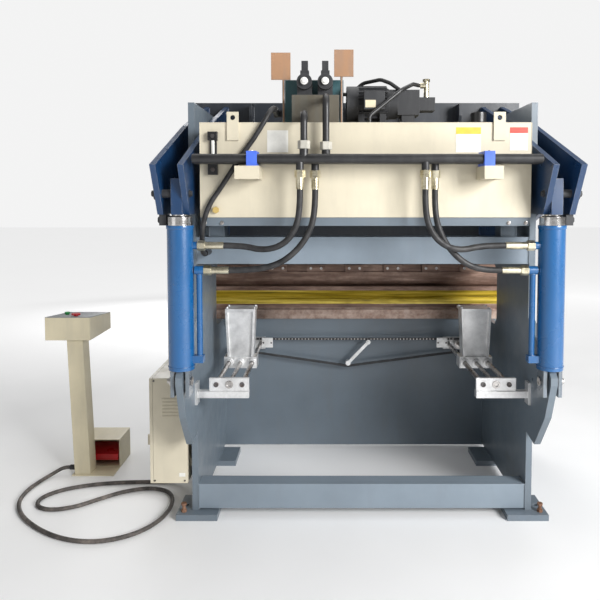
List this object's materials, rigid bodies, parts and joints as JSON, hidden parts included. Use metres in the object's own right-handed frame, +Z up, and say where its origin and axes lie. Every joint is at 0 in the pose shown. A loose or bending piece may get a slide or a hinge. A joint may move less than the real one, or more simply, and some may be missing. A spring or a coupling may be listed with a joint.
{
  "type": "sheet metal brake",
  "caption": "Hydraulic sheet metal brake with straddling ram arms, rear cylinders, top oil tank, screw-driven back gauge and foot-pedal stand on a floor cable.",
  "frame": {"origin": "on the floor at the centre of the four anchor holes", "axes": "+X along the bending line, +Y from the cylinders towards the operator, +Z up"},
  "size_m": [2.765, 1.275, 2.242],
  "materials": {
    "frame_paint": "blue-grey machine enamel",
    "ram_paint": "dark blue-grey machine enamel",
    "cream_paint": "cream powder coat",
    "blue_paint": "blue gloss enamel",
    "tool_steel": "oiled tool steel",
    "machined_steel": "machined steel",
    "chrome": "hard chrome",
    "zinc": "zinc plated",
    "black_paint": "black enamel",
    "hose_rubber": "matt hose rubber",
    "aluminium": "milled aluminium",
    "cast_black": "black cast iron",
    "valve_teal": "phosphated valve casting",
    "clamp_blue": "blue moulded plastic",
    "flag_orange": "weathered reflective plate",
    "red_plastic": "red moulded plastic",
    "green_plastic": "green moulded plastic",
    "switch_grey": "grey moulded plastic",
    "rusty_steel": "rusty steel"
  },
  "bodies": {
    "root": {"left_side_frame": "frame_paint", "right_side_frame": "frame_paint", "foot_plates": "frame_paint", "levelling_bolts": "rusty_steel", "bed_plate": "frame_paint", "rear_cross_members": "frame_paint", "tank_shelf": "frame_paint", "die_rail": "tool_steel", "die_block": "tool_steel", "cylinder_barrels": "blue_paint", "cylinder_glands": "chrome", "cylinder_pins": "machined_steel", "cylinder_ports": "blue_paint", "oil_tank": "cream_paint", "tank_lid": "cream_paint", "tank_fittings": "black_paint", "tank_brackets": "cream_paint", "header_pipes": "black_paint", "pipe_clamps": "clamp_blue", "steel_pipes": "black_paint", "valve_blocks": "valve_teal", "solenoid_coils": "cast_black", "flag_plates": "flag_orange", "motor_body": "cast_black", "fan_cover": "cast_black", "gear_pump": "cast_black", "hose_fittings": "zinc", "upper_left_hose": "hose_rubber", "lower_left_hose": "hose_rubber", "upper_right_hose": "hose_rubber", "lower_right_hose": "hose_rubber", "valve_conduit": "hose_rubber", "floor_cable": "hose_rubber", "cabinet_shell": "cream_paint", "switchgear": "switch_grey", "pedestal_stand": "cream_paint", "console_body": "cream_paint", "console_panel": "cream_paint", "pedal_hood": "cream_paint", "cable_glands": "black_paint", "gauge_rods": "machined_steel", "gauge_supports": "aluminium", "sync_chain": "cast_black"},
    "ram": {"ram_plate": "ram_paint", "ram_arms": "blue_paint", "rod_blocks": "blue_paint", "rod_pins": "machined_steel", "piston_rods": "chrome", "punch": "tool_steel", "punch_clamps": "tool_steel"},
    "motor_fan": {"motor_fan": "switch_grey"},
    "cabinet_door": {"cabinet_door": "cream_paint"},
    "start_button": {"start_button": "green_plastic"},
    "emergency_stop": {"emergency_stop": "red_plastic"},
    "foot_pedal": {"foot_pedal": "red_plastic"},
    "left_gauge_slide": {"left_gauge_slide": "aluminium"},
    "right_gauge_slide": {"right_gauge_slide": "aluminium"},
    "left_gauge_screw": {"left_gauge_screw": "machined_steel"},
    "right_gauge_screw": {"right_gauge_screw": "machined_steel"},
    "chain_tensioner": {"chain_tensioner": "machined_steel"}
  },
  "joints": [
    {"name": "ram_slide", "type": "slide", "parent": "root", "child": "ram", "axis": [0, 0, 1], "range_m": [0, 0.1]},
    {"name": "left_gauge_travel", "type": "slide", "parent": "root", "child": "left_gauge_slide", "axis": [0, 1, 0], "range_m": [-0.33, 0.16]},
    {"name": "right_gauge_travel", "type": "slide", "parent": "root", "child": "right_gauge_slide", "axis": [0, 1, 0], "range_m": [-0.331, 0.161]},
    {"name": "left_screw_turn", "type": "hinge", "parent": "root", "child": "left_gauge_screw", "pos_m": [-0.639, 0, 0.665], "axis": [0, 1, 0], "range_deg": [-11881, 5761]},
    {"name": "right_screw_turn", "type": "hinge", "parent": "root", "child": "right_gauge_screw", "pos_m": [0.639, 0, 0.665], "axis": [0, 1, 0], "range_deg": [-11881, 5761]},
    {"name": "tensioner_swing", "type": "hinge", "parent": "root", "child": "chain_tensioner", "pos_m": [0.082, 0.385, 0.684], "axis": [0, 1, 0], "range_deg": [0, 20]},
    {"name": "cabinet_door_hinge", "type": "hinge", "parent": "root", "child": "cabinet_door", "pos_m": [-1.0095, 0.106, 0.423], "axis": [0, 0, 1], "range_deg": [-94, 0]},
    {"name": "pedal_press", "type": "hinge", "parent": "root", "child": "foot_pedal", "pos_m": [-1.4735, 0.33, 0.04], "axis": [1, 0, 0], "range_deg": [0, 8], "stiffness_Nm_per_rad": 60, "springref_deg": -17.19},
    {"name": "start_press", "type": "slide", "parent": "root", "child": "start_button", "axis": [0, 0, -1], "range_m": [0, 0.005], "stiffness_N_per_m": 600, "springref_m": -0.01},
    {"name": "stop_press", "type": "slide", "parent": "root", "child": "emergency_stop", "axis": [0, 0, -1], "range_m": [0, 0.004], "stiffness_N_per_m": 900, "springref_m": -0.01},
    {"name": "motor_spin", "type": "hinge", "parent": "root", "child": "motor_fan", "pos_m": [0, -0.33, 2.002], "axis": [1, 0, 0], "continuous": true}
  ],
  "couplings": [
    {"joint": "right_gauge_travel", "follows": "left_gauge_travel", "ratio": 1},
    {"joint": "left_screw_turn", "follows": "left_gauge_travel", "rad_per_m": 628.32},
    {"joint": "right_screw_turn", "follows": "left_gauge_travel", "rad_per_m": 628.32}
  ]
}
